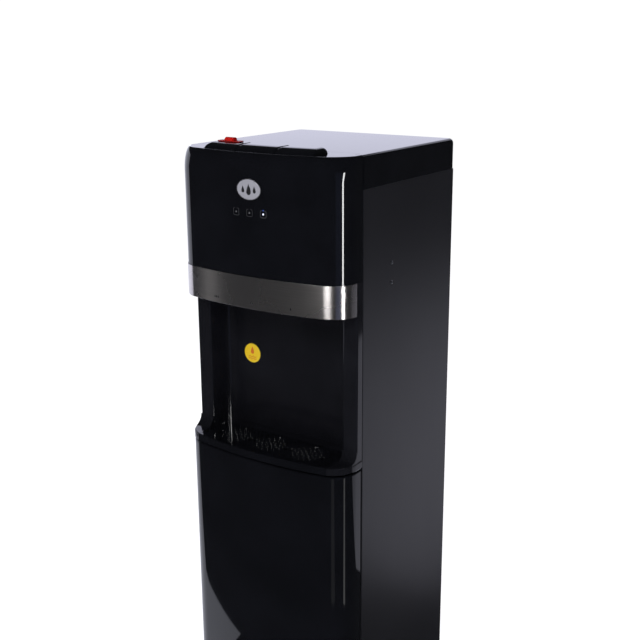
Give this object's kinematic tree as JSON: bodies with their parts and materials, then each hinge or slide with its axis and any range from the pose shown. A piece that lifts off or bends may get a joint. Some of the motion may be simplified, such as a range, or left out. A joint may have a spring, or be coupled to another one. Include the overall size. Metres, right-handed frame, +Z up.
{
  "type": "bottom-loading water dispenser",
  "caption": "Free-standing water dispenser with a bulged front door over a bottle bay, push buttons on top, a recessed tap bay and a drip tray.",
  "frame": {"origin": "on the floor, at the centre of the footprint", "axes": "+X to the right as seen from the front, +Y to the back, +Z up; the bulged front faces -Y"},
  "size_m": [0.31, 0.35, 1.0555],
  "materials": {
    "gloss_black": "high gloss",
    "satin_steel": "satin dark grey powder coat",
    "brushed_steel": "brushed along its length",
    "zinc_steel": "zinc plated",
    "stainless": "satin",
    "copper": "plain drawn tube",
    "red_plastic": "gloss",
    "green_plastic": "gloss",
    "silver_plate": "satin",
    "smoked_lens": "gloss",
    "circuit": "satin",
    "foam": "matte",
    "rubber": "matte",
    "white_plastic": "satin",
    "silicone": "satin",
    "black_enamel": "semi-gloss",
    "black_plastic": "fine texture"
  },
  "bodies": {
    "cabinet": {"base_plinth": "black_plastic", "foot_front_left": "rubber", "foot_front_right": "rubber", "foot_rear_left": "rubber", "foot_rear_right": "rubber", "side_panel_left": "satin_steel", "side_panel_right": "satin_steel", "rear_panel": "zinc_steel", "mid_shelf": "zinc_steel", "top_lid": "gloss_black", "front_cover": "gloss_black", "steel_band": "brushed_steel", "badge_plate": "silver_plate", "indicator_lens": "smoked_lens", "control_board": "circuit", "alcove_housing": "gloss_black", "hot_spring": "stainless", "hot_valve": "white_plastic", "hot_nozzle": "black_plastic", "normal_spring": "stainless", "normal_valve": "white_plastic", "normal_nozzle": "black_plastic", "cold_spring": "stainless", "cold_valve": "white_plastic", "cold_nozzle": "black_plastic", "door_hinge_upper": "zinc_steel", "door_hinge_lower": "zinc_steel", "door_magnet": "rubber", "hot_tank": "stainless", "hot_tank_jacket": "foam", "heater_band": "zinc_steel", "cold_tank": "stainless", "cold_tank_jacket": "foam", "evaporator_coil": "copper", "compressor": "black_enamel", "condenser": "black_enamel", "water_pump": "black_plastic", "bottle_probe": "white_plastic", "cold_hose": "silicone", "normal_hose": "silicone", "hot_hose": "silicone", "fill_hose": "silicone", "suction_hose": "silicone", "switch_plate": "black_plastic", "drain_pipe": "white_plastic", "cord_gland": "rubber"},
    "hot_tap": {"hot_button": "gloss_black", "hot_push_rod": "white_plastic"},
    "normal_tap": {"normal_button": "gloss_black", "normal_push_rod": "white_plastic"},
    "cold_tap": {"cold_button": "gloss_black", "cold_push_rod": "white_plastic"},
    "child_lock": {"child_lock": "red_plastic"},
    "door": {"door_panel": "gloss_black", "door_frame": "black_plastic"},
    "drip_tray": {"drip_tray": "gloss_black"},
    "drip_grille": {"drip_grille": "gloss_black"},
    "heating_switch": {"heating_switch": "red_plastic"},
    "cooling_switch": {"cooling_switch": "green_plastic"},
    "drain_cap": {"drain_cap": "black_plastic"}
  },
  "joints": [
    {"name": "hot_press", "type": "slide", "parent": "cabinet", "child": "hot_tap", "axis": [0, 0, -1], "range_m": [0, 0.005], "stiffness_N_per_m": 400, "deforming": ["hot_spring"]},
    {"name": "normal_press", "type": "slide", "parent": "cabinet", "child": "normal_tap", "axis": [0, 0, -1], "range_m": [0, 0.005], "stiffness_N_per_m": 400, "deforming": ["normal_spring"]},
    {"name": "cold_press", "type": "slide", "parent": "cabinet", "child": "cold_tap", "axis": [0, 0, -1], "range_m": [0, 0.005], "stiffness_N_per_m": 400, "deforming": ["cold_spring"]},
    {"name": "child_lock_slide", "type": "slide", "parent": "hot_tap", "child": "child_lock", "axis": [0, 1, 0], "range_m": [0, 0.004], "stiffness_N_per_m": 150},
    {"name": "door_hinge", "type": "hinge", "parent": "cabinet", "child": "door", "pos_m": [0.146, -0.121, 0.3], "axis": [0, 0, 1], "range_deg": [0, 105]},
    {"name": "drip_tray_slide", "type": "slide", "parent": "cabinet", "child": "drip_tray", "axis": [0, -1, 0], "range_m": [0, 0.11]},
    {"name": "grille_lift", "type": "slide", "parent": "drip_tray", "child": "drip_grille", "axis": [0, 0, 1], "range_m": [0, 0.04]},
    {"name": "heating_rocker", "type": "hinge", "parent": "cabinet", "child": "heating_switch", "pos_m": [-0.095, 0.157, 0.65], "axis": [1, 0, 0], "range_deg": [0, 14]},
    {"name": "cooling_rocker", "type": "hinge", "parent": "cabinet", "child": "cooling_switch", "pos_m": [-0.065, 0.157, 0.65], "axis": [1, 0, 0], "range_deg": [0, 14]},
    {"name": "drain_cap_pull", "type": "slide", "parent": "cabinet", "child": "drain_cap", "axis": [0, 1, 0], "range_m": [0, 0.025]}
  ]
}
